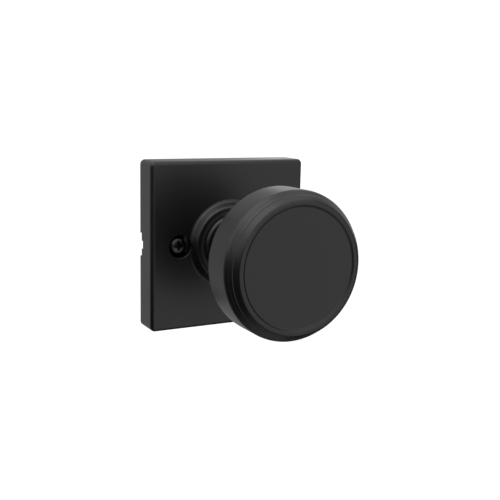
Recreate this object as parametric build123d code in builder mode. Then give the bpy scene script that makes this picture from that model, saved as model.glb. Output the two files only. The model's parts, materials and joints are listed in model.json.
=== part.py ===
"""Round door knob on a square rose, inside half of a tubular passage set. Millimetres.

The knob turns about the Y axis. +Z is up, +X is to the right as one faces the door, and the
door surface is the plane Y = 0. The origin is on the knob's axis, at the rose's back.
Every station below is a distance out from the door surface, which is -Y.
"""

import os
from math import asin, cos, degrees, radians, sin, sqrt

from build123d import *

os.makedirs("parts", exist_ok=True)

# Rose: the square cover plate and its round boss
ROSE_SIDE = 66.5
ROSE_DEPTH = 11.85
ROSE_WALL = 2.2
ROSE_CORNER_RADIUS = 2.0
ROSE_EDGE_RADIUS = 1.5
BOSS_HEIGHT = 3.1
BOSS_SKIRT_RADIUS = 18.0
BOSS_FOOT_RADIUS = 17.0
BOSS_FOOT_ROUND = 1.6
BOSS_TOP_RADIUS = 15.2
BOSS_TOP_ROUND = 1.2
BOSS_LIP_ROUND = 0.2
PRY_SLOT_LENGTH = 9.2
PRY_SLOT_DEPTH = 1.6
PRY_NICK_LENGTH = 3.2
PRY_NICK_DEPTH = 2.9

# Fixing screws, number 8 machine screws that pass through the rose, threaded behind it
SCREW_SPACING = 42.4
SCREW_LENGTH = 24.0
SHANK_RADIUS = 1.85
THREAD_RADIUS = 2.08
THREAD_CHAMFER = 0.5
SCREW_HEAD_RADIUS = 3.45
SCREW_HEAD_HEIGHT = 2.4
SCREW_HEAD_ROUND = 1.2
SCREW_SEAT = 8.0
SCREW_ACCESS_RADIUS = 4.6
SCREW_ACCESS_CHAMFER = 0.1
RECESS_WIDTH = 4.0
RECESS_SLOT = 1.0
RECESS_DEPTH = 1.5
POST_RADIUS = 3.4
POST_BORE = 2.3

# Steel plate that carries the mechanism, just inside the rose
PLATE_GAP = 0.2
PLATE_THICKNESS = 1.6
PLATE_BORE = 9.6

# Spring cage, a pressed cup on the plate
CAGE_FRONT = 8.7
CAGE_WALL = 0.8
CAGE_RADIUS = 14.0
CAGE_POCKET_RADIUS = 20.6
CAGE_POCKET_HALF_ANGLE = 71.0
CAGE_FLANGE = 0.8
CAGE_BORE = 9.3
EAR_RADIUS = 3.0
RIVET_RADIUS = 1.1
RIVET_HEAD_RADIUS = 2.0
RIVET_HEAD_HEIGHT = 0.8
RIVET_HEAD_TAPER = 20
RIVET_PLACES = ((17.3, 235.0), (17.3, 305.0), (24.0, 60.0), (24.0, 120.0))

# Return spring, a torsion spring with both legs pointing up
WIRE_RADIUS = 0.7
COIL_RADIUS = 12.2
COIL_PITCH = 1.45
LEG_OFFSET = 3.0
LEG_TIP = 19.8
COIL_BACK = 2.4

# Pieces on the knob's shank, inside the spring cage
FINGER_HALF_WIDTH = 2.1
FINGER_INNER = 14.2
FINGER_OUTER = 15.8
STOP_INNER = 17.2
STOP_OUTER = 18.8
DRIVER_RADIUS = 11.0
DRIVER_THICKNESS = 1.2
KEY_CLEARANCE = 0.02
WASHER_CLEARANCE = 0.1
WASHER_THICKNESS = 0.45
SPRING_WASHER_THICKNESS = 0.3
SPRING_WASHER_HEIGHT = 1.0
RING_THICKNESS = 1.0
RING_GROOVE_RADIUS = 8.2
RING_GAP = 4.0
RING_EYE_RADIUS = 0.6
RING_EYE_PLACE = (3.4, -8.8)
AXIAL_PLAY = 0.05

# Bearing bush in the boss
BUSH_RADIUS = 13.8
BUSH_FLANGE_RADIUS = 16.0
BUSH_FLANGE = 0.7
BUSH_RECESS = 0.2
RUNNING_CLEARANCE = 0.05

# Knob
KNOB_RADIUS = 27.0
KNOB_BACK_STATION = 48.9
KNOB_WALL = 1.9
REAR_EDGE_RADIUS = 1.0

# Corners of the knob's stepped front, each a radius, a station and a rounding
SHOULDER = (27.06, 62.25, 2.4)
LOWER_STEP_FOOT = (26.04, 63.1, 0.12)
LOWER_STEP = (26.0, 63.4, 0.2)
UPPER_STEP_FOOT = (25.36, 64.1, 0.15)
UPPER_STEP = (25.3, 64.93, 0.3)
RIM_OUTER = (23.65, 66.6, 1.3)
RIM_INNER = (22.3, 66.6, 0.9)
FACE_FOOT = (21.4, 66.05, 0.9)

# Knob face, the disc inside the rim
FACE_RADIUS = 20.7
FACE_STATION = 66.05
FACE_THICKNESS = 1.8
FACE_LEDGE = 1.7
CUP_FLOOR_STATION = 61.0

# Knob back, flare and neck, with the thicker journal that runs in the bush
NECK_RADIUS = 10.5
NECK_WALL = 1.5
NECK_END_STATION = 9.0
JOURNAL_RADIUS = 12.15
JOURNAL_SHOULDER_STATION = 16.6
JOURNAL_ROUND = 1.6
FLARE_RADIUS = 12.0
BACK_RECESS = 0.8

# Core, shank sleeve and spindle
CORE_THICKNESS = 2.5
CORE_RIM_DEPTH = 6.0
CORE_HUB_RADIUS = 14.0
CORE_HUB_DEPTH = 8.0
CORE_HOLE_RADIUS = 3.0
CORE_HOLE_CIRCLE = 19.5
CORE_HOLE_COUNT = 6
SLEEVE_RADIUS = NECK_RADIUS - NECK_WALL
SLEEVE_BORE = 7.0
SLEEVE_FLOOR_STATION = 34.0
SLEEVE_TAIL_RADIUS = 8.8
SLEEVE_TAIL_FLAT = 8.1
SLEEVE_TAIL_STATION = 1.0
SPINDLE_SIDE = 7.94
SPINDLE_FRONT_STATION = 32.0
SPINDLE_REACH = 44.0
SPINDLE_CHAMFER = 0.8
SOCKET_PLAY = 0.08
PIN_RADIUS = 1.5
PIN_STATION = 24.0
PIN_LENGTH = 17.6

# Clips that hold the rose on the plate
CLIP_STRIP = 0.5
CLIP_WIDTH = 8.0
CLIP_TAB = 5.0
CLIP_HEIGHT = 5.4
CLIP_CREST_HEIGHT = 3.6
CLIP_BULGE = 0.7
CLIP_GRIP = 0.05
CLIP_OFFSET = 18.0

# Stations that follow from the sizes above
rose_inner_front = ROSE_DEPTH - ROSE_WALL
boss_top = ROSE_DEPTH + BOSS_HEIGHT
plate_side = ROSE_SIDE - 2 * (ROSE_WALL + PLATE_GAP)
cage_ceiling = CAGE_FRONT - CAGE_WALL
washer_front = cage_ceiling - AXIAL_PLAY
washer_bore = SLEEVE_TAIL_RADIUS + WASHER_CLEARANCE
driver_front = washer_front - WASHER_THICKNESS - AXIAL_PLAY
driver_back = driver_front - DRIVER_THICKNESS
finger_back = COIL_BACK - WIRE_RADIUS / 2
ring_front = driver_back - SPRING_WASHER_HEIGHT
ring_back = ring_front - RING_THICKNESS
groove_front = ring_front + AXIAL_PLAY
groove_back = ring_back - AXIAL_PLAY
leg_lean = degrees(asin(LEG_OFFSET / COIL_RADIUS))
coil_turns = 2 - 2 * leg_lean / 360
coil_front = COIL_BACK + coil_turns * COIL_PITCH
back_face = KNOB_BACK_STATION + BACK_RECESS
shell_inner_radius = KNOB_RADIUS - KNOB_WALL
bush_bore = JOURNAL_RADIUS + RUNNING_CLEARANCE
core_front = CUP_FLOOR_STATION
core_rim_radius = shell_inner_radius - CORE_THICKNESS
socket_side = SPINDLE_SIDE + 2 * SOCKET_PLAY
flare_centre = (NECK_RADIUS + FLARE_RADIUS, back_face - FLARE_RADIUS)

# The axis that the knob turns about, pointing out of the door
OUTWARD = Axis((0, 0, 0), (0, -1, 0))

# Local x is the radius and local y is the distance out from the door, for turned profiles
TURNED = Plane(origin=(0, 0, 0), x_dir=(1, 0, 0), z_dir=(0, 0, -1))


def facing(station):
    """The plane that faces out of the door at this distance from it."""
    return Plane.XZ.offset(station)


def polar(radius, angle):
    """A point in the facing plane, the angle counted from +X towards +Z."""
    return (radius * cos(radians(angle)), radius * sin(radians(angle)))


def ring_profile(inner, outer, back, front, mode=Mode.ADD):
    """A rectangle in the turned plane between two radii and two stations."""
    with Locations(((inner + outer) / 2, (back + front) / 2)):
        Rectangle(outer - inner, front - back, mode=mode)


def outline(*corners):
    """A closed outline in the turned plane, each corner a radius, a station and a rounding."""
    places = [(radius, station) for radius, station, _ in corners]
    FilletPolyline(*places, radius=[rounding for _, _, rounding in corners], close=True)


screw_places = [(-SCREW_SPACING / 2, 0), (SCREW_SPACING / 2, 0)]
rivet_points = [polar(radius, angle) for radius, angle in RIVET_PLACES]

# The room inside the spring cage: round, with a fan on top for the spring's legs
with BuildSketch() as cage_room:
    Circle(CAGE_RADIUS)
    with BuildLine():
        fan_arc = CenterArc(
            (0, 0), CAGE_POCKET_RADIUS, 90 - CAGE_POCKET_HALF_ANGLE, 2 * CAGE_POCKET_HALF_ANGLE
        )
        Polyline(fan_arc @ 1, (0, 0), fan_arc @ 0)
    make_face()


# Rose cover: a square shell, open at the back, with a round boss for the neck
with BuildPart() as rose_cover:
    with BuildSketch(facing(0)):
        RectangleRounded(ROSE_SIDE, ROSE_SIDE, ROSE_CORNER_RADIUS)
    extrude(amount=ROSE_DEPTH)
    fillet(rose_cover.faces().sort_by(Axis.Y)[0].edges(), ROSE_EDGE_RADIUS)
    with BuildSketch(facing(0)):
        Rectangle(ROSE_SIDE - 2 * ROSE_WALL, ROSE_SIDE - 2 * ROSE_WALL)
        Circle(BUSH_RADIUS, mode=Mode.SUBTRACT)
    extrude(amount=rose_inner_front, mode=Mode.SUBTRACT)
    with BuildSketch(facing(0)):
        Circle(BUSH_RADIUS)
    extrude(amount=ROSE_DEPTH, mode=Mode.SUBTRACT)
    with BuildSketch(TURNED):
        with BuildLine():
            outline(
                (BUSH_RADIUS, rose_inner_front, 0),
                (BOSS_SKIRT_RADIUS, rose_inner_front, 0),
                (BOSS_SKIRT_RADIUS, ROSE_DEPTH, 0),
                (BOSS_FOOT_RADIUS, ROSE_DEPTH, BOSS_FOOT_ROUND),
                (BOSS_TOP_RADIUS, boss_top, BOSS_TOP_ROUND),
                (BUSH_RADIUS, boss_top, BOSS_LIP_ROUND),
            )
        make_face()
    revolve(axis=Axis.Y)
    with BuildSketch(facing(rose_inner_front)):
        with Locations(*screw_places):
            Circle(SCREW_ACCESS_RADIUS)
    extrude(amount=boss_top - rose_inner_front, mode=Mode.SUBTRACT)
    with BuildSketch(facing(ROSE_DEPTH - SCREW_ACCESS_CHAMFER)):
        with Locations(*screw_places):
            Circle(SCREW_ACCESS_RADIUS)
    extrude(amount=SCREW_ACCESS_CHAMFER, taper=-45, mode=Mode.SUBTRACT)
    with BuildSketch(Plane.YZ.offset(-ROSE_SIDE / 2)):
        Rectangle(2 * PRY_SLOT_DEPTH, PRY_SLOT_LENGTH)
        Rectangle(2 * PRY_NICK_DEPTH, PRY_NICK_LENGTH)
    extrude(amount=ROSE_WALL, mode=Mode.SUBTRACT)
rose_cover.part.label = "rose_cover"
export_step(rose_cover.part, "parts/rose_cover.step")

# Mounting plate: the steel plate behind the rose that the screws pull against the door
with BuildPart() as mounting_plate:
    with BuildSketch(facing(0)):
        RectangleRounded(plate_side, plate_side, ROSE_CORNER_RADIUS)
        Circle(PLATE_BORE, mode=Mode.SUBTRACT)
        with Locations(*screw_places):
            Circle(POST_BORE, mode=Mode.SUBTRACT)
        with Locations(*rivet_points):
            Circle(RIVET_RADIUS, mode=Mode.SUBTRACT)
    extrude(amount=PLATE_THICKNESS)
mounting_plate.part.label = "mounting_plate"
export_step(mounting_plate.part, "parts/mounting_plate.step")

# Screw posts: two steel collars on the plate that the screw heads bear on
with BuildPart() as screw_posts:
    with BuildSketch(facing(PLATE_THICKNESS)):
        with Locations(*screw_places):
            Circle(POST_RADIUS)
            Circle(POST_BORE, mode=Mode.SUBTRACT)
    extrude(amount=SCREW_SEAT - PLATE_THICKNESS)
screw_posts.part.label = "screw_posts"
export_step(screw_posts.part, "parts/screw_posts.step")

# Fixing screws: two machine screws with a cross recess, threaded from the door's surface on
with BuildPart() as fixing_screws:
    with BuildSketch(facing(SCREW_SEAT)):
        with Locations(*screw_places):
            Circle(SCREW_HEAD_RADIUS)
    extrude(amount=SCREW_HEAD_HEIGHT)
    fillet(fixing_screws.edges().group_by(Axis.Y)[0], SCREW_HEAD_ROUND)
    with BuildSketch(facing(0)):
        with Locations(*screw_places):
            Circle(SHANK_RADIUS)
    extrude(amount=SCREW_SEAT)
    with BuildSketch(facing(0)):
        with Locations(*screw_places):
            Circle(THREAD_RADIUS)
    extrude(amount=SCREW_SEAT - SCREW_LENGTH)
    chamfer(fixing_screws.edges().group_by(Axis.Y)[-1], THREAD_CHAMFER)
    with BuildSketch(facing(SCREW_SEAT + SCREW_HEAD_HEIGHT)):
        with Locations(*screw_places):
            Rectangle(RECESS_WIDTH, RECESS_SLOT)
            Rectangle(RECESS_SLOT, RECESS_WIDTH)
    extrude(amount=-RECESS_DEPTH, mode=Mode.SUBTRACT)
fixing_screws.part.label = "fixing_screws"
export_step(fixing_screws.part, "parts/fixing_screws.step")

# Spring cage: a pressed cup with a fan-shaped pocket for the spring's legs, and four ears
with BuildPart() as spring_cage:
    with BuildSketch(facing(PLATE_THICKNESS)):
        add(cage_room.sketch)
        offset(amount=CAGE_WALL + CAGE_FLANGE, kind=Kind.ARC, mode=Mode.REPLACE)
        with Locations(*rivet_points):
            Circle(EAR_RADIUS)
    extrude(amount=CAGE_WALL)
    with BuildSketch(facing(PLATE_THICKNESS)):
        add(cage_room.sketch)
        offset(amount=CAGE_WALL, kind=Kind.ARC, mode=Mode.REPLACE)
    extrude(amount=CAGE_FRONT - PLATE_THICKNESS)
    with BuildSketch(facing(PLATE_THICKNESS)):
        add(cage_room.sketch)
    extrude(amount=cage_ceiling - PLATE_THICKNESS, mode=Mode.SUBTRACT)
    with BuildSketch(facing(PLATE_THICKNESS)):
        Circle(CAGE_BORE)
        with Locations(*rivet_points):
            Circle(RIVET_RADIUS)
    extrude(amount=CAGE_FRONT, mode=Mode.SUBTRACT)
    with BuildSketch(facing(finger_back)):
        with Locations((0, (STOP_INNER + STOP_OUTER) / 2)):
            Rectangle(2 * FINGER_HALF_WIDTH, STOP_OUTER - STOP_INNER)
    extrude(amount=cage_ceiling + CAGE_WALL / 2 - finger_back)
spring_cage.part.label = "spring_cage"
export_step(spring_cage.part, "parts/spring_cage.step")

# Cage rivets: four rivets through the cage's ears and the plate, flush at the back
with BuildPart() as cage_rivets:
    with BuildSketch(facing(0)):
        with Locations(*rivet_points):
            Circle(RIVET_RADIUS)
    extrude(amount=PLATE_THICKNESS + CAGE_WALL)
    with BuildSketch(facing(PLATE_THICKNESS + CAGE_WALL)):
        with Locations(*rivet_points):
            Circle(RIVET_HEAD_RADIUS)
    extrude(amount=RIVET_HEAD_HEIGHT, taper=RIVET_HEAD_TAPER)
cage_rivets.part.label = "cage_rivets"
export_step(cage_rivets.part, "parts/cage_rivets.step")

# Return spring: not quite two turns of round wire, its legs either side of the driver's finger
coil = Helix(
    COIL_PITCH,
    coil_front - COIL_BACK,
    COIL_RADIUS,
    center=(0, -COIL_BACK, 0),
    direction=OUTWARD.direction,
)
coil = coil.rotate(OUTWARD, 180 + leg_lean)
root_height = sqrt(COIL_RADIUS**2 - LEG_OFFSET**2)
with BuildPart() as return_spring:
    with BuildSketch(Plane(origin=coil @ 0, z_dir=coil % 0)):
        Circle(WIRE_RADIUS)
    sweep(path=coil)
    for side, station in ((-1, COIL_BACK), (1, coil_front)):
        with BuildSketch(Plane(origin=(side * LEG_OFFSET, -station, root_height), z_dir=(0, 0, 1))):
            Circle(WIRE_RADIUS)
        extrude(amount=LEG_TIP - root_height)
        with Locations((side * LEG_OFFSET, -station, root_height)):
            Sphere(WIRE_RADIUS)
return_spring.part.label = "return_spring"
export_step(return_spring.part, "parts/return_spring.step")

# Hub bush: the nylon bearing in the boss, flanged behind the rose
with BuildPart() as hub_bush:
    with BuildSketch(TURNED):
        ring_profile(bush_bore, BUSH_RADIUS, rose_inner_front, boss_top - BUSH_RECESS)
        ring_profile(bush_bore, BUSH_FLANGE_RADIUS, rose_inner_front - BUSH_FLANGE, rose_inner_front)
    revolve(axis=Axis.Y)
hub_bush.part.label = "hub_bush"
export_step(hub_bush.part, "parts/hub_bush.step")

# Rose clips: four leaf springs, welded to the plate, that grip the rose's top and bottom walls
clip_wall = ROSE_SIDE / 2 - ROSE_WALL
clip_tab_end = clip_wall - CLIP_GRIP - CLIP_TAB
clip_bend = clip_wall - CLIP_BULGE
clip_crest = clip_wall - CLIP_GRIP
clip_tip = clip_bend - CLIP_STRIP
clip_foot = PLATE_THICKNESS
crest_station = clip_foot + CLIP_CREST_HEIGHT
tip_station = clip_foot + CLIP_HEIGHT
with BuildPart() as rose_clips:
    for across in (-CLIP_OFFSET, CLIP_OFFSET):
        for side in (-1, 1):
            strip_plane = Plane(
                origin=(across - CLIP_WIDTH / 2, 0, 0), x_dir=(0, 0, side), z_dir=(side, 0, 0)
            )
            with BuildSketch(strip_plane):
                with BuildLine():
                    Polyline(
                        (clip_tab_end, clip_foot),
                        (clip_bend, clip_foot),
                        (clip_crest, crest_station),
                        (clip_tip, tip_station),
                        (clip_tip - CLIP_STRIP, tip_station),
                        (clip_crest - CLIP_STRIP, crest_station),
                        (clip_bend - CLIP_STRIP, clip_foot + CLIP_STRIP),
                        (clip_tab_end, clip_foot + CLIP_STRIP),
                        close=True,
                    )
                make_face()
            extrude(amount=side * CLIP_WIDTH)
rose_clips.part.label = "rose_clips"
export_step(rose_clips.part, "parts/rose_clips.step")

# Thrust washer: takes the knob's pull against the front of the cage
with BuildPart() as thrust_washer:
    with BuildSketch(TURNED):
        ring_profile(washer_bore, DRIVER_RADIUS, washer_front - WASHER_THICKNESS, washer_front)
    revolve(axis=Axis.Y)
thrust_washer.part.label = "thrust_washer"
export_step(thrust_washer.part, "parts/thrust_washer.step")

# Knob shell: a cast cup with a barrel, two small steps and a raised rim around the face
with BuildPart() as knob_shell:
    with BuildSketch(TURNED):
        with BuildLine():
            outline(
                (shell_inner_radius, KNOB_BACK_STATION, 0),
                (KNOB_RADIUS, KNOB_BACK_STATION, REAR_EDGE_RADIUS),
                SHOULDER,
                LOWER_STEP_FOOT,
                LOWER_STEP,
                UPPER_STEP_FOOT,
                UPPER_STEP,
                RIM_OUTER,
                RIM_INNER,
                FACE_FOOT,
                (FACE_RADIUS, FACE_STATION, 0),
                (FACE_RADIUS, FACE_STATION - FACE_THICKNESS, 0),
                (FACE_RADIUS - FACE_LEDGE, FACE_STATION - FACE_THICKNESS, 0),
                (FACE_RADIUS - FACE_LEDGE, CUP_FLOOR_STATION, 0),
                (shell_inner_radius, CUP_FLOOR_STATION, 0),
            )
        make_face()
    revolve(axis=Axis.Y)
knob_shell.part.label = "knob_shell"
export_step(knob_shell.part, "parts/knob_shell.step")

# Knob face: the flat disc set into the rim
with BuildPart() as knob_face:
    with BuildSketch(facing(FACE_STATION - FACE_THICKNESS)):
        Circle(FACE_RADIUS)
    extrude(amount=FACE_THICKNESS)
knob_face.part.label = "knob_face"
export_step(knob_face.part, "parts/knob_face.step")

# Knob back: the cover behind the barrel, which flares in to the neck
with BuildPart() as knob_back:
    with BuildSketch(TURNED):
        with BuildLine():
            flare_outside = CenterArc(flare_centre, FLARE_RADIUS, 90, 90)
            flare_inside = CenterArc(flare_centre, FLARE_RADIUS + NECK_WALL, 90, 90)
            Line(flare_outside @ 1, (NECK_RADIUS, NECK_END_STATION))
            Line((NECK_RADIUS, NECK_END_STATION), (SLEEVE_RADIUS, NECK_END_STATION))
            Line((SLEEVE_RADIUS, NECK_END_STATION), flare_inside @ 1)
            Line(flare_inside @ 0, (shell_inner_radius, back_face + NECK_WALL))
            Line((shell_inner_radius, back_face + NECK_WALL), (shell_inner_radius, back_face))
            Line((shell_inner_radius, back_face), flare_outside @ 0)
        make_face()
        with BuildLine():
            outline(
                (SLEEVE_RADIUS, NECK_END_STATION, 0),
                (JOURNAL_RADIUS, NECK_END_STATION, 0),
                (JOURNAL_RADIUS, JOURNAL_SHOULDER_STATION, JOURNAL_ROUND),
                (SLEEVE_RADIUS, JOURNAL_SHOULDER_STATION, 0),
            )
        make_face()
    revolve(axis=Axis.Y)
knob_back.part.label = "knob_back"
export_step(knob_back.part, "parts/knob_back.step")

# Knob core: the cast spider that ties the shell to the shank sleeve
with BuildPart() as knob_core:
    with BuildSketch(TURNED):
        ring_profile(SLEEVE_RADIUS, shell_inner_radius, core_front - CORE_THICKNESS, core_front)
        ring_profile(SLEEVE_RADIUS, CORE_HUB_RADIUS, core_front - CORE_HUB_DEPTH, core_front)
        ring_profile(core_rim_radius, shell_inner_radius, core_front - CORE_RIM_DEPTH, core_front)
    revolve(axis=Axis.Y)
    with BuildSketch(facing(core_front)):
        with PolarLocations(CORE_HOLE_CIRCLE, CORE_HOLE_COUNT):
            Circle(CORE_HOLE_RADIUS)
    extrude(amount=-CORE_THICKNESS, mode=Mode.SUBTRACT)
knob_core.part.label = "knob_core"
export_step(knob_core.part, "parts/knob_core.step")

# Shank sleeve: the steel tube that carries the knob, with a square socket and a flatted tail
with BuildPart() as shank_sleeve:
    with BuildSketch(TURNED):
        ring_profile(0, SLEEVE_RADIUS, NECK_END_STATION, core_front)
        ring_profile(0, SLEEVE_TAIL_RADIUS, SLEEVE_TAIL_STATION, NECK_END_STATION)
        ring_profile(0, SLEEVE_BORE, SLEEVE_FLOOR_STATION, core_front, mode=Mode.SUBTRACT)
        ring_profile(RING_GROOVE_RADIUS, SLEEVE_RADIUS, groove_back, groove_front, mode=Mode.SUBTRACT)
    revolve(axis=Axis.Y)
    with BuildSketch(facing(SLEEVE_TAIL_STATION)):
        Rectangle(2 * SLEEVE_RADIUS, 2 * SLEEVE_RADIUS)
        Rectangle(2 * SLEEVE_TAIL_FLAT, 2 * SLEEVE_RADIUS, mode=Mode.SUBTRACT)
    extrude(amount=driver_front - SLEEVE_TAIL_STATION, mode=Mode.SUBTRACT)
    with BuildSketch(facing(SLEEVE_TAIL_STATION)):
        Rectangle(socket_side, socket_side)
    extrude(amount=SLEEVE_FLOOR_STATION - SLEEVE_TAIL_STATION, mode=Mode.SUBTRACT)
    with BuildSketch(Plane.XY.offset(-SLEEVE_RADIUS)):
        with Locations((0, -PIN_STATION)):
            Circle(PIN_RADIUS)
    extrude(amount=2 * SLEEVE_RADIUS, mode=Mode.SUBTRACT)
shank_sleeve.part.label = "shank_sleeve"
export_step(shank_sleeve.part, "parts/shank_sleeve.step")

# Spring driver: keyed on the sleeve's flats, its folded finger turns between the spring's legs
with BuildPart() as spring_driver:
    with BuildSketch(facing(driver_back)):
        Circle(DRIVER_RADIUS)
        with Locations((0, FINGER_OUTER / 2)):
            Rectangle(2 * FINGER_HALF_WIDTH, FINGER_OUTER)
        with BuildSketch(mode=Mode.PRIVATE) as keyed_hole:
            Circle(SLEEVE_TAIL_RADIUS + KEY_CLEARANCE)
            key_width = 2 * (SLEEVE_TAIL_FLAT + KEY_CLEARANCE)
            Rectangle(key_width, 2 * DRIVER_RADIUS, mode=Mode.INTERSECT)
        add(keyed_hole.sketch, mode=Mode.SUBTRACT)
    extrude(amount=DRIVER_THICKNESS)
    with BuildSketch(facing(finger_back)):
        with Locations((0, (FINGER_INNER + FINGER_OUTER) / 2)):
            Rectangle(2 * FINGER_HALF_WIDTH, FINGER_OUTER - FINGER_INNER)
    extrude(amount=driver_front - finger_back)
spring_driver.part.label = "spring_driver"
export_step(spring_driver.part, "parts/spring_driver.step")

# Spring washer: a shallow cone that keeps the driver from rattling
with BuildPart() as spring_washer:
    cone_back = ring_front + AXIAL_PLAY
    cone_front = driver_back - AXIAL_PLAY
    with BuildSketch(TURNED):
        with BuildLine():
            outline(
                (washer_bore, cone_back, 0),
                (DRIVER_RADIUS, cone_front - SPRING_WASHER_THICKNESS, 0),
                (DRIVER_RADIUS, cone_front, 0),
                (washer_bore, cone_back + SPRING_WASHER_THICKNESS, 0),
            )
        make_face()
    revolve(axis=Axis.Y)
spring_washer.part.label = "spring_washer"
export_step(spring_washer.part, "parts/spring_washer.step")

# Snap ring: the open retaining ring in the sleeve's groove
with BuildPart() as snap_ring:
    with BuildSketch(facing(ring_back)):
        Circle(DRIVER_RADIUS)
        Circle(RING_GROOVE_RADIUS + AXIAL_PLAY, mode=Mode.SUBTRACT)
        with Locations((0, -DRIVER_RADIUS)):
            Rectangle(RING_GAP, DRIVER_RADIUS, mode=Mode.SUBTRACT)
        eye_across, eye_height = RING_EYE_PLACE
        with Locations((-eye_across, eye_height), (eye_across, eye_height)):
            Circle(RING_EYE_RADIUS, mode=Mode.SUBTRACT)
    extrude(amount=RING_THICKNESS)
snap_ring.part.label = "snap_ring"
export_step(snap_ring.part, "parts/snap_ring.step")

# Spindle: the square bar that turns the latch
with BuildPart() as spindle:
    with BuildSketch(facing(-SPINDLE_REACH)):
        Rectangle(SPINDLE_SIDE, SPINDLE_SIDE)
    extrude(amount=SPINDLE_REACH + SPINDLE_FRONT_STATION)
    chamfer(spindle.faces().sort_by(Axis.Y)[-1].edges(), SPINDLE_CHAMFER)
    with BuildSketch(Plane.XY.offset(-SPINDLE_SIDE / 2)):
        with Locations((0, -PIN_STATION)):
            Circle(PIN_RADIUS)
    extrude(amount=SPINDLE_SIDE, mode=Mode.SUBTRACT)
spindle.part.label = "spindle"
export_step(spindle.part, "parts/spindle.step")

# Spindle pin: the cross pin through the sleeve and the spindle, covered by the neck
with BuildPart() as spindle_pin:
    with BuildSketch(Plane.XY.offset(-PIN_LENGTH / 2)):
        with Locations((0, -PIN_STATION)):
            Circle(PIN_RADIUS)
    extrude(amount=PIN_LENGTH)
spindle_pin.part.label = "spindle_pin"
export_step(spindle_pin.part, "parts/spindle_pin.step")
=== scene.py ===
"""Round stepped door knob on a square rose: the visual model, its materials, light and camera.

Lengths in this script are millimetres unless a name says metres. The knob turns about the Y axis,
+Z is up, and a station is a distance out from the door's surface, which is -Y.
"""

import json
from math import acos, ceil, cos, pi, radians, sin, sqrt, tan

import bmesh
import bpy
from mathutils import Matrix, Vector


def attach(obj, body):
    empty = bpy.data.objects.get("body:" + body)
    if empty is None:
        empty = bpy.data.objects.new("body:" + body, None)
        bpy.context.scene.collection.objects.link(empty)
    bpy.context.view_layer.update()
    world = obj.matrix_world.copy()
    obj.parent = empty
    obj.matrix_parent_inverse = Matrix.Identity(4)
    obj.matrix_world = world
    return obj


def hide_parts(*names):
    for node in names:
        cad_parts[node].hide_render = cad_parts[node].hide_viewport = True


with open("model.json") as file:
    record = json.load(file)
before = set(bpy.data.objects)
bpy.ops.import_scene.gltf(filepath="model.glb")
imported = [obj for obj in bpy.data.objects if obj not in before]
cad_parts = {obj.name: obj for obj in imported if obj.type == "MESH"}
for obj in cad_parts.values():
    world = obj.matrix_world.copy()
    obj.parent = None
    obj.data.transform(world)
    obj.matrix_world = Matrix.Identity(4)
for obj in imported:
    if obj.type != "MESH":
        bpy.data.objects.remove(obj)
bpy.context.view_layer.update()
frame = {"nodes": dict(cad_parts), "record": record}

MM = 0.001

# Rose cover
ROSE_SIDE = 66.5
ROSE_DEPTH = 11.85
ROSE_WALL = 2.2
ROSE_CORNER_RADIUS = 2.0
ROSE_EDGE_RADIUS = 1.5
ROSE_BACK_EDGE = 0.12
ROSE_INNER_CORNER = 0.4
BOSS_SKIRT_RADIUS = 18.5
BOSS_FOOT_RADIUS = 17.0
BOSS_TOP_RADIUS = 15.2
BOSS_HEIGHT = 3.1
BOSS_FOOT_ROUND = 1.6
BOSS_TOP_ROUND = 1.2
BOSS_LIP_ROUND = 0.2
PRY_SLOT_LENGTH = 9.2
PRY_SLOT_DEPTH = 1.6
PRY_NICK_LENGTH = 3.2
PRY_NICK_DEPTH = 2.9

# Screws; a recess size is the half length and half width of one of the cross's arms
SCREW_OFFSET = 21.2
SCREW_ACCESS_RADIUS = 4.6
SCREW_ACCESS_CHAMFER = 0.1
SCREW_SEAT = 8.0
SCREW_HEAD_RADIUS = 3.45
SCREW_HEAD_HEIGHT = 2.4
SCREW_DOME_HEIGHT = 1.35
SCREW_TIP_STATION = -16.0
SCREW_TIP_CHAMFER = 0.5
SHANK_RADIUS = 1.85
THREAD_ROOT_RADIUS = 1.6
THREAD_CREST_RADIUS = 2.07
THREAD_PITCH = 0.79
THREAD_CREST_WIDTH = 0.1
THREAD_FOOT_WIDTH = 0.66
THREAD_STEPS = 36
RECESS_DEPTH = 1.5
RECESS_MOUTH = (2.0, 0.5)
RECESS_FLOOR = (1.1, 0.32)

# Bush and neck
BUSH_RADIUS = 13.8
BUSH_BORE = 12.2
BUSH_RECESS = 0.2
BUSH_BACK = 10.0
JOURNAL_RADIUS = 12.15
JOURNAL_SHOULDER_STATION = 16.6
JOURNAL_ROUND = 1.6
NECK_RADIUS = 10.5
NECK_WALL = 1.5
NECK_END_STATION = 9.0
NECK_LAST_RING = 1.0
FLARE_RADIUS = 12.0

# Knob
KNOB_RADIUS = 27.0
KNOB_BACK_STATION = 48.9
KNOB_WALL = 1.9
REAR_EDGE_RADIUS = 1.0
BACK_RECESS = 0.8

# Corners of the knob's stepped front, each a radius, a station and a rounding
SHOULDER = (27.06, 62.25, 2.4)
LOWER_STEP_FOOT = (26.04, 63.1, 0.12)
LOWER_STEP = (26.0, 63.4, 0.2)
UPPER_STEP_FOOT = (25.36, 64.1, 0.15)
UPPER_STEP = (25.3, 64.93, 0.3)
RIM_OUTER = (23.65, 66.6, 1.3)
RIM_INNER = (22.3, 66.6, 0.9)
FACE_FOOT = (21.4, 66.05, 0.9)

# Knob face, the disc inside the rim
FACE_RADIUS = 20.7
FACE_STATION = 66.05
FACE_THICKNESS = 1.8
FACE_LEDGE = 1.7
FACE_RING_RADII = (18, 12, 6, 2, 0)
CUP_FLOOR_STATION = 61.0

# Cutters reach past what they cut, and start at a station inside the rose's hollow
CUTTER_MARGIN = 1.0
CUTTER_INNER_MARGIN = 0.3
HOLE_CUTTER_STATIONS = (5.0, 20.0)

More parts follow.
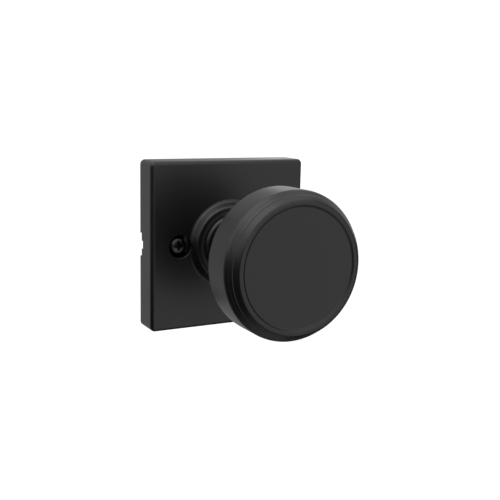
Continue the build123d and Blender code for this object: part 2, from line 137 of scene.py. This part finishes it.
# Mesh fineness: steps round a full turn and along arcs, and the support beside a rounding
TURNS = 256
SCREW_TURNS = 72
HOLE_TURNS = 96
ARC_STEP_DEGREES = 9
SQUARE_CORNER_STEPS = 10
ROSE_EDGE_STEPS = 12
DOME_STEPS = 12
FLARE_STEPS = 24
SUPPORT = 0.05
SMOOTH_ANGLE = radians(32)

# Height of the finest relief on every finish, in metres
GRAIN_HEIGHT = 0.00002


def rounded(corners, closed=True):
    """Replaces each (radius, station, rounding) corner by an arc tangent to both its sides."""
    points = []
    count = len(corners)
    for i, (x, y, rounding) in enumerate(corners):
        here = Vector((x, y))
        if rounding == 0 or (not closed and i in (0, count - 1)):
            points.append((x, y))
            continue
        to_last = (Vector(corners[i - 1][:2]) - here).normalized()
        to_next = (Vector(corners[(i + 1) % count][:2]) - here).normalized()
        half = acos(max(-1.0, min(1.0, to_last.dot(to_next)))) / 2
        reach = rounding / tan(half)
        centre = here + (to_last + to_next).normalized() * (rounding / sin(half))
        start = here + to_last * reach
        sweep = pi - 2 * half
        steps = max(3, ceil(sweep / radians(ARC_STEP_DEGREES)))
        first = start - centre
        turn = 1 if first.cross(here + to_next * reach - centre) > 0 else -1
        points.append(tuple(start + to_last * SUPPORT))
        for k in range(steps + 1):
            spoke = Matrix.Rotation(turn * sweep * k / steps, 2) @ first
            points.append(tuple(centre + spoke))
        points.append(tuple(here + to_next * (reach + SUPPORT)))
    return points


def arc(centre, radius, start, end, steps):
    """Points on an arc in the outline plane, the angles in degrees."""
    found = []
    for k in range(steps + 1):
        angle = radians(start + (end - start) * k / steps)
        found.append((centre[0] + radius * cos(angle), centre[1] + radius * sin(angle)))
    return found


def raw_object(name, bm):
    """Makes an object of a bmesh, still in millimetres, so that cuts keep their precision."""
    bmesh.ops.recalc_face_normals(bm, faces=bm.faces)
    mesh = bpy.data.meshes.new(name)
    bm.to_mesh(mesh)
    bm.free()
    made = bpy.data.objects.new(name, mesh)
    bpy.context.scene.collection.objects.link(made)
    return made


def to_metres(made):
    """Scales a raw object's mesh to metres and shades it smooth."""
    made.data.transform(Matrix.Scale(MM, 4))
    shade(made)
    return made


def to_object(name, bm):
    """Makes a smooth-shaded object of a bmesh, in metres."""
    return to_metres(raw_object(name, bm))


def shade(made):
    """Smooth shading, with the edges sharper than the smooth angle kept."""
    for face in made.data.polygons:
        face.use_smooth = True
    made.data.set_sharp_from_angle(angle=SMOOTH_ANGLE)


def turned_rings(bm, points, turns=TURNS, at=0.0):
    """Rings of vertices, one for each (radius, station) point; a point on the axis is one vertex."""
    rings = []
    for radius, station in points:
        if radius < 1e-6:
            rings.append([bm.verts.new((at, -station, 0))])
            continue
        ring = []
        for k in range(turns):
            angle = 2 * pi * k / turns
            ring.append(bm.verts.new((at + radius * cos(angle), -station, radius * sin(angle))))
        rings.append(ring)
    return rings


def turned_mesh(points, closed=True, turns=TURNS, at=0.0):
    """Turns an outline of (radius, station) points about the knob's axis, or one beside it."""
    bm = bmesh.new()
    rings = turned_rings(bm, points, turns, at)
    pairs = list(zip(rings, rings[1:]))
    if closed:
        pairs.append((rings[-1], rings[0]))
    for low, high in pairs:
        bridge(bm, low, high)
    return bm


def turned(name, points, closed=True):
    """A turned piece, in metres."""
    return to_object(name, turned_mesh(points, closed))


def bridge(bm, low, high):
    """Faces between two rings of vertices, either of which may be a single point."""
    if len(low) == 1 and len(high) == 1:
        return
    count = max(len(low), len(high))
    for k in range(count):
        after = (k + 1) % count
        lower = [low[k % len(low)], low[after % len(low)]]
        upper = [high[after % len(high)], high[k % len(high)]]
        corners = lower + upper
        bm.faces.new(list(dict.fromkeys(corners)))


def square_loop(half, corner, station):
    """Corner-rounded square as a loop of places, in the facing plane at a station."""
    places = []
    for quarter in range(4):
        middle = radians(45 + 90 * quarter)
        reach = (half - corner) * sqrt(2)
        cx, cz = reach * cos(middle), reach * sin(middle)
        for k in range(SQUARE_CORNER_STEPS + 1):
            angle = radians(90 * quarter) + radians(90) * k / SQUARE_CORNER_STEPS
            places.append((cx + corner * cos(angle), -station, cz + corner * sin(angle)))
    return places


def boolean(target, cutter):
    """Cuts one object with another and keeps the result as the target's mesh."""
    step = target.modifiers.new("cut", "BOOLEAN")
    step.operation = "DIFFERENCE"
    step.solver = "EXACT"
    step.object = cutter
    bpy.context.view_layer.update()
    graph = bpy.context.evaluated_depsgraph_get()
    mesh = bpy.data.meshes.new_from_object(target.evaluated_get(graph))
    target.modifiers.clear()
    old = target.data
    target.data = mesh
    bpy.data.meshes.remove(old)
    bpy.data.objects.remove(cutter)


def block(name, low, high):
    """A plain block, used as a cutter."""
    bm = bmesh.new()
    bmesh.ops.create_cube(bm, size=1)
    size = Vector(high) - Vector(low)
    middle = (Vector(high) + Vector(low)) / 2
    bmesh.ops.scale(bm, vec=size, verts=bm.verts)
    bmesh.ops.translate(bm, vec=middle, verts=bm.verts)
    return raw_object(name, bm)


# --- materials ---------------------------------------------------------------------------------


def new_material(name, roughness, ior=1.46, metallic=0.0):
    """A node material with its shader, and an object-space coordinate to hang textures on."""
    material = bpy.data.materials.new(name)
    material.use_nodes = True
    nodes = material.node_tree.nodes
    shader = nodes["Principled BSDF"]
    shader.inputs["Metallic"].default_value = metallic
    shader.inputs["IOR"].default_value = ior
    shader.inputs["Roughness"].default_value = roughness
    place = nodes.new("ShaderNodeTexCoord")
    return material, shader, place


def noise(material, place, scale, detail):
    """A noise texture in object space; the scale is in features per metre."""
    nodes, links = material.node_tree.nodes, material.node_tree.links
    texture = nodes.new("ShaderNodeTexNoise")
    texture.inputs["Scale"].default_value = scale
    texture.inputs["Detail"].default_value = detail
    links.new(place.outputs["Object"], texture.inputs["Vector"])
    return texture


def spread(material, source, low, high):
    """Maps a texture's factor to a range of values."""
    nodes, links = material.node_tree.nodes, material.node_tree.links
    mapped = nodes.new("ShaderNodeMapRange")
    mapped.inputs["From Min"].default_value = 0.3
    mapped.inputs["From Max"].default_value = 0.7
    mapped.inputs["To Min"].default_value = low
    mapped.inputs["To Max"].default_value = high
    links.new(source, mapped.inputs["Value"])
    return mapped.outputs["Result"]


def tint(material, source, dark, light):
    """Mixes two colours by a texture's factor."""
    nodes, links = material.node_tree.nodes, material.node_tree.links
    mix = nodes.new("ShaderNodeMix")
    mix.data_type = "RGBA"
    mix.inputs["A"].default_value = (*dark, 1)
    mix.inputs["B"].default_value = (*light, 1)
    links.new(source, mix.inputs["Factor"])
    return mix.outputs["Result"]


def bump(material, shader, source, strength, distance):
    """Feeds a texture to the shader as fine relief; the distance is in metres."""
    nodes, links = material.node_tree.nodes, material.node_tree.links
    relief = nodes.new("ShaderNodeBump")
    relief.inputs["Strength"].default_value = strength
    relief.inputs["Distance"].default_value = distance
    links.new(source, relief.inputs["Height"])
    links.new(relief.outputs["Normal"], shader.inputs["Normal"])


def finish(name, dark, light, roughness, clouds, grains, relief, metallic=0.0, ior=1.46):
    """A finish whose tone and gloss drift in soft clouds, over a fine relief of grains."""
    low, high = roughness
    material, shader, place = new_material(name, (low + high) / 2, ior, metallic)
    cloud = noise(material, place, clouds, 3)
    grain = noise(material, place, grains, 2)
    links = material.node_tree.links
    links.new(tint(material, cloud.outputs["Fac"], dark, light), shader.inputs["Base Color"])
    links.new(spread(material, cloud.outputs["Fac"], low, high), shader.inputs["Roughness"])
    bump(material, shader, grain.outputs["Fac"], relief, GRAIN_HEIGHT)
    return material


def paint(piece, material):
    """Gives a piece one material."""
    piece.data.materials.clear()
    piece.data.materials.append(material)


# --- pieces ------------------------------------------------------------------------------------


def rose_profile():
    """The cover's outside from its back edge to its facing: half side, corner radius, station."""
    half = ROSE_SIDE / 2
    profile = [
        (half - ROSE_BACK_EDGE, ROSE_CORNER_RADIUS - ROSE_BACK_EDGE, 0.0),
        (half, ROSE_CORNER_RADIUS, ROSE_BACK_EDGE),
        (half, ROSE_CORNER_RADIUS, ROSE_DEPTH - ROSE_EDGE_RADIUS - SUPPORT),
    ]
    for k in range(ROSE_EDGE_STEPS + 1):
        angle = radians(90) * k / ROSE_EDGE_STEPS
        pulled = ROSE_EDGE_RADIUS * (1 - cos(angle))
        station = ROSE_DEPTH - ROSE_EDGE_RADIUS * (1 - sin(angle))
        profile.append((half - pulled, ROSE_CORNER_RADIUS - pulled, station))
    last_half, last_corner, _ = profile[-1]
    profile.append((last_half - SUPPORT, last_corner - SUPPORT, ROSE_DEPTH))
    return profile


def fill_between(bm, outer_loop, inner_loop):
    """Flat faces between two closed loops of vertices, one inside the other."""
    edges = []
    for loop in (outer_loop, inner_loop):
        for k, vert in enumerate(loop):
            pair = (vert, loop[(k + 1) % len(loop)])
            edges.append(bm.edges.get(pair) or bm.edges.new(pair))
    bmesh.ops.triangle_fill(bm, use_beauty=True, edges=edges)


def rose_body():
    """The cover before its holes: a hollow square with rounded front edges and the boss."""
    bm = bmesh.new()
    inner_half = ROSE_SIDE / 2 - ROSE_WALL
    inner_front = ROSE_DEPTH - ROSE_WALL
    loops = []
    for half, corner, station in rose_profile():
        loops.append([bm.verts.new(place) for place in square_loop(half, corner, station)])
    for low, high in zip(loops, loops[1:]):
        bridge(bm, low, high)
    inner_back = square_loop(inner_half, ROSE_INNER_CORNER, 0.0)
    inner = [bm.verts.new(place) for place in inner_back]
    inner_deep_places = square_loop(inner_half, ROSE_INNER_CORNER, inner_front)
    inner_deep = [bm.verts.new(place) for place in inner_deep_places]
    bridge(bm, loops[0], inner)
    bridge(bm, inner, inner_deep)
    boss_top = ROSE_DEPTH + BOSS_HEIGHT
    boss = rounded(
        [
            (BOSS_SKIRT_RADIUS, ROSE_DEPTH, 0),
            (BOSS_FOOT_RADIUS, ROSE_DEPTH, BOSS_FOOT_ROUND),
            (BOSS_TOP_RADIUS, boss_top, BOSS_TOP_ROUND),
            (BUSH_RADIUS, boss_top, BOSS_LIP_ROUND),
            (BUSH_RADIUS, inner_front, 0),
        ],
        closed=False,
    )
    rings = turned_rings(bm, boss)
    for low, high in zip(rings, rings[1:]):
        bridge(bm, low, high)
    fill_between(bm, loops[-1], rings[0])
    fill_between(bm, inner_deep, rings[-1])
    return raw_object("rose_cover_body", bm)


def make_rose_cover():
    """The square cover with its boss, two screw holes and the stepped pry slot."""
    cover = rose_body()
    flared = SCREW_ACCESS_RADIUS + SCREW_ACCESS_CHAMFER
    start, end = HOLE_CUTTER_STATIONS
    well = [
        (0, start),
        (SCREW_ACCESS_RADIUS, start),
        (SCREW_ACCESS_RADIUS, ROSE_DEPTH - SCREW_ACCESS_CHAMFER),
        (flared, ROSE_DEPTH),
        (flared, end),
        (0, end),
    ]
    for side in (-1, 1):
        hole = turned_mesh(well, closed=False, turns=HOLE_TURNS, at=side * SCREW_OFFSET)
        boolean(cover, raw_object("screw_hole_cutter", hole))
    outside = -ROSE_SIDE / 2 - CUTTER_MARGIN
    inside = -ROSE_SIDE / 2 + ROSE_WALL + CUTTER_INNER_MARGIN
    for length, depth in ((PRY_SLOT_LENGTH, PRY_SLOT_DEPTH), (PRY_NICK_LENGTH, PRY_NICK_DEPTH)):
        low = (outside, -depth, -length / 2)
        high = (inside, CUTTER_MARGIN, length / 2)
        boolean(cover, block("pry_slot_cutter", low, high))
    to_metres(cover)
    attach(cover, "rose")
    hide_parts("rose_cover")
    return cover


def make_knob_shell():
    """The knob's cup: barrel, two small steps and the raised rim."""
    inner = KNOB_RADIUS - KNOB_WALL
    outline = rounded(
        [
            (inner, KNOB_BACK_STATION, 0),
            (KNOB_RADIUS, KNOB_BACK_STATION, REAR_EDGE_RADIUS),
            SHOULDER,
            LOWER_STEP_FOOT,
            LOWER_STEP,
            UPPER_STEP_FOOT,
            UPPER_STEP,
            RIM_OUTER,
            RIM_INNER,
            FACE_FOOT,
            (FACE_RADIUS, FACE_STATION, 0),
            (FACE_RADIUS, FACE_STATION - FACE_THICKNESS, 0),
            (FACE_RADIUS - FACE_LEDGE, FACE_STATION - FACE_THICKNESS, 0),
            (FACE_RADIUS - FACE_LEDGE, CUP_FLOOR_STATION, 0),
            (inner, CUP_FLOOR_STATION, 0),
        ]
    )
    shell = turned("knob_shell_body", outline)
    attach(shell, "knob")
    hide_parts("knob_shell")
    return shell


def make_knob_face():
    """The flat disc inside the rim."""
    back = FACE_STATION - FACE_THICKNESS
    outline = [(0, back), (FACE_RADIUS, back), (FACE_RADIUS, FACE_STATION)]
    outline += [(radius, FACE_STATION) for radius in (FACE_RADIUS - SUPPORT, *FACE_RING_RADII)]
    face = turned("knob_face_disc", outline, closed=False)
    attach(face, "knob")
    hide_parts("knob_face")
    return face


def make_knob_back():
    """The cover behind the barrel, with its flare and the neck."""
    back_face = KNOB_BACK_STATION + BACK_RECESS
    centre = (NECK_RADIUS + FLARE_RADIUS, back_face - FLARE_RADIUS)
    inner = KNOB_RADIUS - KNOB_WALL
    outline = arc(centre, FLARE_RADIUS, 90, 180, FLARE_STEPS)
    shoulder = rounded(
        [
            (NECK_RADIUS, JOURNAL_SHOULDER_STATION + NECK_LAST_RING, 0),
            (NECK_RADIUS, JOURNAL_SHOULDER_STATION, 0),
            (JOURNAL_RADIUS, JOURNAL_SHOULDER_STATION, JOURNAL_ROUND),
            (JOURNAL_RADIUS, NECK_END_STATION, 0),
        ],
        closed=False,
    )
    outline += shoulder + [(NECK_RADIUS - NECK_WALL, NECK_END_STATION)]
    outline += arc(centre, FLARE_RADIUS + NECK_WALL, 180, 90, FLARE_STEPS)
    outline += [(inner, back_face + NECK_WALL), (inner, back_face)]
    back = turned("knob_back_cover", outline)
    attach(back, "knob")
    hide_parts("knob_back")
    return back


def make_hub_bush():
    """The black bearing ring in the boss."""
    top = ROSE_DEPTH + BOSS_HEIGHT - BUSH_RECESS
    outline = rounded(
        [
            (BUSH_BORE, BUSH_BACK, 0),
            (BUSH_RADIUS, BUSH_BACK, 0),
            (BUSH_RADIUS, top, 0.1),
            (BUSH_BORE, top, 0.1),
        ]
    )
    bush = turned("hub_bush_ring", outline)
    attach(bush, "rose")
    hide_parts("hub_bush")
    return bush


def thread_ridge(bm, at):
    """Adds the screw's thread: one ridge wound about the shank, run out to nothing at both ends."""
    turns = -SCREW_TIP_STATION / THREAD_PITCH - 1
    count = round(turns * THREAD_STEPS)
    last = None
    for k in range(count + 1):
        angle = 2 * pi * k / THREAD_STEPS
        middle = -THREAD_PITCH * (0.5 + k / THREAD_STEPS)
        grown = min(1.0, k / THREAD_STEPS, (count - k) / THREAD_STEPS)
        crest = THREAD_ROOT_RADIUS + (THREAD_CREST_RADIUS - THREAD_ROOT_RADIUS) * grown
        section = (
            (THREAD_ROOT_RADIUS - SUPPORT, -THREAD_FOOT_WIDTH / 2),
            (crest, -THREAD_CREST_WIDTH / 2),
            (crest, THREAD_CREST_WIDTH / 2),
            (THREAD_ROOT_RADIUS - SUPPORT, THREAD_FOOT_WIDTH / 2),
        )
        ring = []
        for radius, offset in section:
            place = (at + radius * cos(angle), -(middle + offset), radius * sin(angle))
            ring.append(bm.verts.new(place))
        if last is None:
            bm.faces.new(ring)
        else:
            bridge(bm, last, ring)
        last = ring
    bm.faces.new(reversed(last))


def recess_blade(at, upright):
    """One arm pair of the cross recess: a wedge that narrows towards its floor."""
    bm = bmesh.new()
    top = SCREW_SEAT + SCREW_HEAD_HEIGHT
    levels = (
        (RECESS_MOUTH, top + CUTTER_MARGIN),
        (RECESS_MOUTH, top),
        (RECESS_FLOOR, top - RECESS_DEPTH),
    )
    loops = []
    for (long, short), station in levels:
        half_x, half_z = (short, long) if upright else (long, short)
        corners = ((half_x, half_z), (-half_x, half_z), (-half_x, -half_z), (half_x, -half_z))
        loops.append([bm.verts.new((at + x, -station, z)) for x, z in corners])
    for low, high in zip(loops, loops[1:]):
        bridge(bm, low, high)
    bm.faces.new(loops[0])
    bm.faces.new(reversed(loops[-1]))
    return raw_object("recess_cutter", bm)


def make_screw(side):
    """A machine screw: domed head with a cross recess, plain shank and a wound thread."""
    at = SCREW_OFFSET * (1 if side == "right" else -1)
    top = SCREW_SEAT + SCREW_HEAD_HEIGHT
    rim = top - SCREW_DOME_HEIGHT
    outline = []
    for k in range(DOME_STEPS + 1):
        angle = radians(90 * k / DOME_STEPS)
        outline.append((SCREW_HEAD_RADIUS * sin(angle), rim + SCREW_DOME_HEIGHT * cos(angle)))
    outline += [
        (SCREW_HEAD_RADIUS, SCREW_SEAT + SUPPORT),
        (SCREW_HEAD_RADIUS - SUPPORT, SCREW_SEAT),
        (SHANK_RADIUS, SCREW_SEAT),
        (SHANK_RADIUS, 0),
        (THREAD_ROOT_RADIUS, -THREAD_PITCH / 2),
        (THREAD_ROOT_RADIUS, SCREW_TIP_STATION + SCREW_TIP_CHAMFER),
        (THREAD_ROOT_RADIUS - SCREW_TIP_CHAMFER, SCREW_TIP_STATION),
        (0, SCREW_TIP_STATION),
    ]
    screw = raw_object("fixing_screw_" + side, turned_mesh(outline, closed=False, turns=SCREW_TURNS, at=at))
    for upright in (True, False):
        boolean(screw, recess_blade(at, upright))
    bm = bmesh.new()
    bm.from_mesh(screw.data)
    thread_ridge(bm, at)
    bmesh.ops.recalc_face_normals(bm, faces=bm.faces)
    bm.to_mesh(screw.data)
    bm.free()
    to_metres(screw)
    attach(screw, "rose")
    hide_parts("fixing_screws")
    return screw


# Each finish: two tones that it drifts between, the range of its roughness, how fine its clouds
# and its grains are (features per metre) and how strong the grains' relief is
finishes = {
    # powder coat: nearly no colour, a broad soft sheen and a very fine grain
    "satin_black": finish(
        "satin_black_coat",
        dark=(0.0016, 0.0016, 0.0017),
        light=(0.0026, 0.0026, 0.0027),
        roughness=(0.34, 0.38),
        clouds=60,
        grains=5200,
        relief=0.06,
    ),
    "black_oxide_steel": finish(
        "black_oxide",
        dark=(0.05, 0.05, 0.052),
        light=(0.08, 0.08, 0.083),
        roughness=(0.26, 0.36),
        clouds=400,
        grains=6000,
        relief=0.1,
        metallic=1.0,
    ),
    "zinc_plated_steel": finish(
        "zinc_plating",
        dark=(0.5, 0.52, 0.54),
        light=(0.62, 0.62, 0.6),
        roughness=(0.28, 0.42),
        clouds=150,
        grains=2500,
        relief=0.15,
        metallic=1.0,
    ),
    "spring_steel": finish(
        "oiled_spring_steel",
        dark=(0.24, 0.23, 0.23),
        light=(0.34, 0.33, 0.33),
        roughness=(0.24, 0.36),
        clouds=250,
        grains=3500,
        relief=0.12,
        metallic=1.0,
    ),
    "cast_zinc": finish(
        "cast_zinc_skin",
        dark=(0.38, 0.39, 0.41),
        light=(0.5, 0.5, 0.52),
        roughness=(0.42, 0.58),
        clouds=120,
        grains=1400,
        relief=0.45,
        metallic=1.0,
    ),
    "black_nylon": finish(
        "black_nylon_skin",
        dark=(0.006, 0.006, 0.006),
        light=(0.011, 0.011, 0.011),
        roughness=(0.45, 0.55),
        clouds=80,
        grains=3000,
        relief=0.15,
        ior=1.53,
    ),
}

makers = (
    (make_rose_cover, "satin_black"),
    (make_knob_shell, "satin_black"),
    (make_knob_face, "satin_black"),
    (make_knob_back, "satin_black"),
    (make_hub_bush, "black_nylon"),
)
for make, slot in makers:
    piece = make()
    paint(piece, finishes[slot])
for side in ("left", "right"):
    screw = make_screw(side)
    paint(screw, finishes["black_oxide_steel"])
for appearance in frame["record"]["subparts"]:
    paint(frame["nodes"][appearance["node"]], finishes[appearance["material_slot"]])

# --- floor, light and camera -------------------------------------------------------------------

FLOOR_HEIGHT = -1800.0
FLOOR_REACH = 800.0
BACKDROP_WHITE = 1.1
ROOM_FILL = 0.05
SOFTBOX_DISTANCE = 900.0

# Each softbox: its name, azimuth (0 is in front of the knob, + to its right), elevation, side
# and strength
SOFTBOXES = (
    ("front_right_low", 26, -12, 1400.0, 0.73),
    ("overhead_front", 0, 50, 1600.0, 0.75),
    ("left", -90, 50, 1600.0, 0.97),
    ("overhead", 0, 90, 1600.0, 0.55),
    ("right_behind", 122, 28, 1000.0, 0.68),
    ("behind", 180, 0, 2400.0, 0.38),
)


def make_floor():
    """A plain pale floor well below the knob, which hangs on a door."""
    bm = bmesh.new()
    bmesh.ops.create_circle(bm, cap_ends=True, radius=FLOOR_REACH, segments=96)
    bmesh.ops.translate(bm, vec=(0, 0, FLOOR_HEIGHT), verts=bm.verts)
    floor = to_object("floor", bm)
    material, shader, place = new_material("pale_floor", 0.8)
    cloud = noise(material, place, 3, 2)
    colour = tint(material, cloud.outputs["Fac"], (0.8, 0.8, 0.8), (0.84, 0.84, 0.84))
    material.node_tree.links.new(colour, shader.inputs["Base Color"])
    paint(floor, material)


def make_backdrop():
    """A white surround behind the knob, and a weak even fill for everything it lights."""
    world = bpy.data.worlds.new("backdrop")
    world.use_nodes = True
    nodes, links = world.node_tree.nodes, world.node_tree.links
    rays = nodes.new("ShaderNodeLightPath")
    strength = nodes.new("ShaderNodeMapRange")
    strength.inputs["To Min"].default_value = ROOM_FILL
    strength.inputs["To Max"].default_value = BACKDROP_WHITE
    links.new(rays.outputs["Is Camera Ray"], strength.inputs["Value"])
    background = nodes["Background"]
    background.inputs["Color"].default_value = (1, 1, 1, 1)
    links.new(strength.outputs["Result"], background.inputs["Strength"])
    bpy.context.scene.world = world


def direction(azimuth, elevation):
    """The unit vector towards a place around the knob, the angles in degrees."""
    across, up = radians(azimuth), radians(elevation)
    return Vector((sin(across) * cos(up), -cos(across) * cos(up), sin(up)))


def make_softbox(name, azimuth, elevation, side, strength):
    """A large square light that faces the knob."""
    data = bpy.data.lights.new(name, "AREA")
    data.shape = "SQUARE"
    data.size = side * MM
    data.energy = strength * 4 * data.size**2
    lamp = bpy.data.objects.new(name, data)
    towards = direction(azimuth, elevation)
    lamp.location = towards * SOFTBOX_DISTANCE * MM
    lamp.rotation_euler = towards.to_track_quat("Z", "Y").to_euler()
    lamp.visible_camera = False
    bpy.context.scene.collection.objects.link(lamp)


CAMERA_AIM = (5.165, -20.0, -1.623)
CAMERA_AZIMUTH = -28.337
CAMERA_ELEVATION = 10.387
CAMERA_ROLL = 1.263
CAMERA_DISTANCE = 323.6
CAMERA_LENS = 58.94


def make_camera():
    """A camera that looks at the knob from its left and a little above."""
    data = bpy.data.cameras.new("camera")
    data.lens = CAMERA_LENS
    data.sensor_width = 36
    data.clip_start = 0.01
    data.clip_end = 50
    camera = bpy.data.objects.new("camera", data)
    bpy.context.scene.collection.objects.link(camera)
    back = direction(CAMERA_AZIMUTH, CAMERA_ELEVATION)
    roll = radians(CAMERA_ROLL)
    right = (-back).cross(Vector((0, 0, 1))).normalized()
    up = right.cross(-back)
    side = cos(roll) * right + sin(roll) * up
    top = -sin(roll) * right + cos(roll) * up
    turn = Matrix((side, top, back)).transposed().to_4x4()
    place = (Vector(CAMERA_AIM) + back * CAMERA_DISTANCE) * MM
    camera.matrix_world = Matrix.Translation(place) @ turn
    bpy.context.scene.camera = camera


make_floor()
make_backdrop()
for softbox in SOFTBOXES:
    make_softbox(*softbox)
make_camera()
bpy.context.scene.view_settings.view_transform = "Standard"
